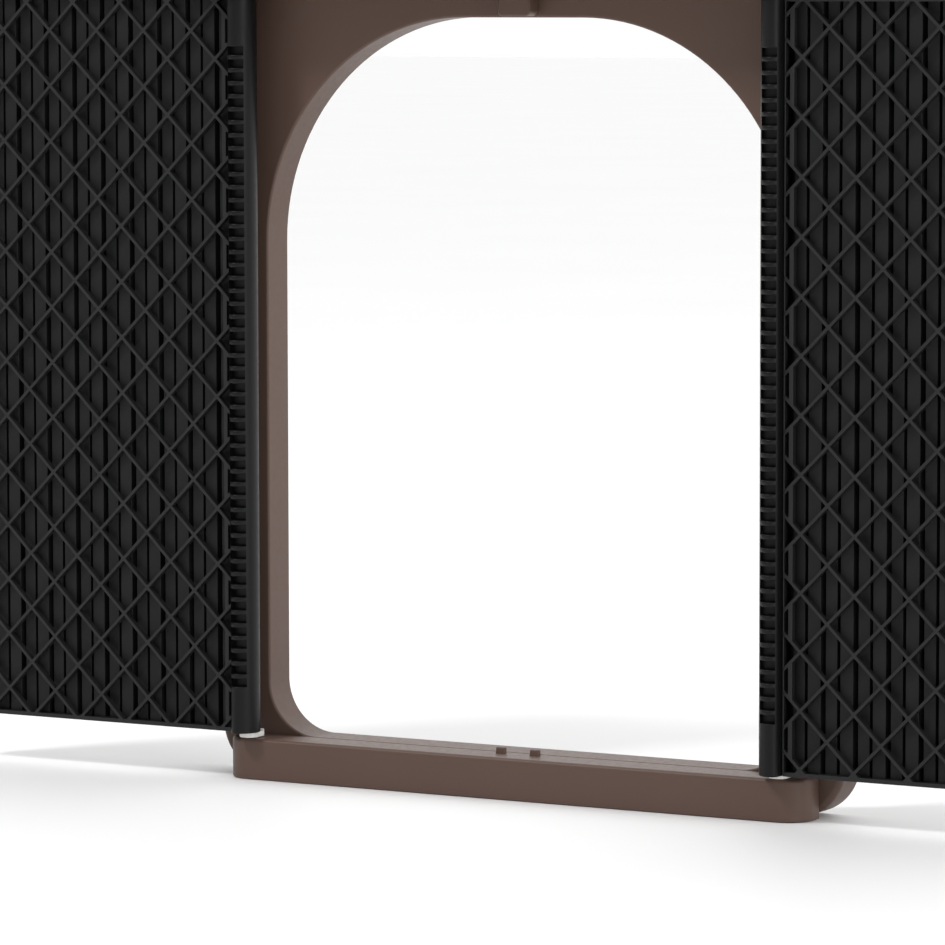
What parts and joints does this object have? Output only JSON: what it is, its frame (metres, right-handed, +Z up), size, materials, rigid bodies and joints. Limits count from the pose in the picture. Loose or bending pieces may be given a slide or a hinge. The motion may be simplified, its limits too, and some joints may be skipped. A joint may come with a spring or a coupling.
{
  "type": "automatic coop door",
  "caption": "Powered poultry door: arched wall frame with two black lattice leaves that slide apart on opposed racks below a drive housing.",
  "frame": {"origin": "middle of the bounding box in X and Y, at the height of the ground under the sill rail", "axes": "+X to the right along the leaves' travel, +Y from the front to the wall, +Z up"},
  "size_m": [0.567, 0.055, 0.452],
  "materials": {
    "brown_plastic": "satin",
    "black_plastic": "matt",
    "white_nylon": "satin",
    "acetal": "satin",
    "steel": "brushed",
    "brass": "satin",
    "rubber": "matt",
    "board": "satin",
    "dark_lens": "polished",
    "status_lens": "polished",
    "grey_plastic": "satin",
    "cell_wrap": "gloss"
  },
  "bodies": {
    "housing": {"frame": "brown_plastic", "sill_rail": "brown_plastic", "top_backstop": "brown_plastic", "housing_cover": "brown_plastic", "cover_gasket": "rubber", "cover_screw_1": "steel", "cover_screw_2": "steel", "cover_screw_3": "steel", "cover_screw_4": "steel", "sill_screw_1": "steel", "sill_screw_2": "steel", "mechanism_plate": "steel", "lower_guide_rail": "steel", "upper_guide_rail": "steel", "gearbox": "grey_plastic", "motor_can": "steel", "motor_end_cap": "black_plastic", "closed_limit_switch": "black_plastic", "open_limit_switch": "black_plastic", "control_board": "board", "display_module": "grey_plastic", "display_window": "dark_lens", "light_sensor_lens": "dark_lens", "status_light": "status_lens", "open_button_switch": "black_plastic", "close_button_switch": "black_plastic", "menu_button_switch": "black_plastic", "battery_tray": "black_plastic", "battery_cover_pin": "steel", "battery_cell_1": "cell_wrap", "battery_cell_2": "cell_wrap", "battery_cell_3": "cell_wrap", "battery_cell_4": "cell_wrap", "spring_contact_plate": "steel", "button_contact_plate": "steel", "dc_inlet": "black_plastic"},
    "left_leaf": {"left_leaf_lattice": "black_plastic", "left_leaf_skin": "black_plastic", "left_leaf_closing_edge": "black_plastic", "left_glide_shoe": "white_nylon", "left_hanger": "steel", "left_hanger_screw": "steel", "left_rack": "acetal"},
    "right_leaf": {"right_leaf_lattice": "black_plastic", "right_leaf_skin": "black_plastic", "right_leaf_closing_edge": "black_plastic", "right_glide_shoe": "white_nylon", "right_hanger": "steel", "right_hanger_screw": "steel", "right_rack": "acetal"},
    "drive_pinion": {"pinion": "acetal", "output_shaft": "steel", "shaft_washer": "brass"},
    "open_push": {"open_button": "black_plastic"},
    "close_push": {"close_button": "black_plastic"},
    "menu_push": {"menu_button": "black_plastic"},
    "battery_flap": {"battery_cover": "brown_plastic"},
    "plug": {"inlet_plug": "rubber"}
  },
  "joints": [
    {"name": "left_leaf_slide", "type": "slide", "parent": "housing", "child": "left_leaf", "axis": [1, 0, 0], "range_m": [0, 0.1242]},
    {"name": "right_leaf_slide", "type": "slide", "parent": "housing", "child": "right_leaf", "axis": [-1, 0, 0], "range_m": [0, 0.1242]},
    {"name": "pinion_spin", "type": "hinge", "parent": "housing", "child": "drive_pinion", "pos_m": [0, -0.00205, 0.383], "axis": [0, -1, 0], "range_deg": [0, 475]},
    {"name": "open_button_press", "type": "slide", "parent": "housing", "child": "open_push", "axis": [0, 1, 0], "range_m": [0, 0.001], "stiffness_N_per_m": 300},
    {"name": "close_button_press", "type": "slide", "parent": "housing", "child": "close_push", "axis": [0, 1, 0], "range_m": [0, 0.001], "stiffness_N_per_m": 300},
    {"name": "menu_button_press", "type": "slide", "parent": "housing", "child": "menu_push", "axis": [0, 1, 0], "range_m": [0, 0.001], "stiffness_N_per_m": 300},
    {"name": "battery_cover_hinge", "type": "hinge", "parent": "housing", "child": "battery_flap", "pos_m": [0.102, -0.0253, 0.4112], "axis": [1, 0, 0], "range_deg": [0, 110]},
    {"name": "inlet_plug_pull", "type": "slide", "parent": "housing", "child": "plug", "axis": [1, 0, 0], "range_m": [0, 0.0085]}
  ],
  "couplings": [
    {"joint": "right_leaf_slide", "follows": "left_leaf_slide", "ratio": 1},
    {"joint": "pinion_spin", "follows": "left_leaf_slide", "rad_per_m": 66.667}
  ]
}
